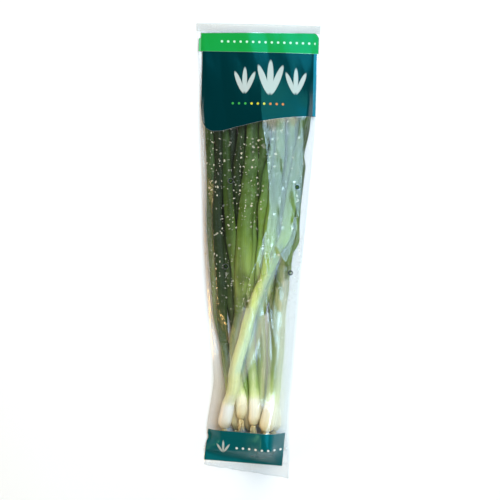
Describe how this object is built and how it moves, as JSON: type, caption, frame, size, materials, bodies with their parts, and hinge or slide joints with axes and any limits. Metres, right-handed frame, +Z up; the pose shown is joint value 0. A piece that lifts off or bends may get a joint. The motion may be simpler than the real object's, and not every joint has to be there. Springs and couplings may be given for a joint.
{
  "type": "spring onion bunch",
  "caption": "Bunch of spring onions with white shafts, long green leaves and cut roots, lying packed in a clear tapered film sleeve with coloured bands.",
  "frame": {"origin": "on the surface under the middle of the sleeve's outline", "axes": "+Y from the roots to the open mouth of the sleeve, +Z up from the surface, +X to the right seen from above with the mouth away"},
  "size_m": [0.132, 0.4797, 0.0413],
  "materials": {
    "film": "clear glossy packing film with opaque printed bands",
    "shaft": "satin, white at the base and pale green above",
    "leaf": "waxy satin green",
    "root": "dry fibrous"
  },
  "bodies": {
    "root": {"onion_1_shaft": "shaft", "onion_1_leaves": "leaf", "onion_1_roots": "root", "onion_2_shaft": "shaft", "onion_2_leaves": "leaf", "onion_2_roots": "root", "onion_3_shaft": "shaft", "onion_3_leaves": "leaf", "onion_3_roots": "root", "onion_4_shaft": "shaft", "onion_4_leaves": "leaf", "onion_4_roots": "root", "onion_5_shaft": "shaft", "onion_5_leaves": "leaf", "onion_5_roots": "root", "onion_6_shaft": "shaft", "onion_6_leaves": "leaf", "onion_6_roots": "root", "onion_7_shaft": "shaft", "onion_7_leaves": "leaf", "onion_7_roots": "root", "onion_8_shaft": "shaft", "onion_8_leaves": "leaf", "onion_8_roots": "root", "sleeve": "film"}
  },
  "joints": []
}
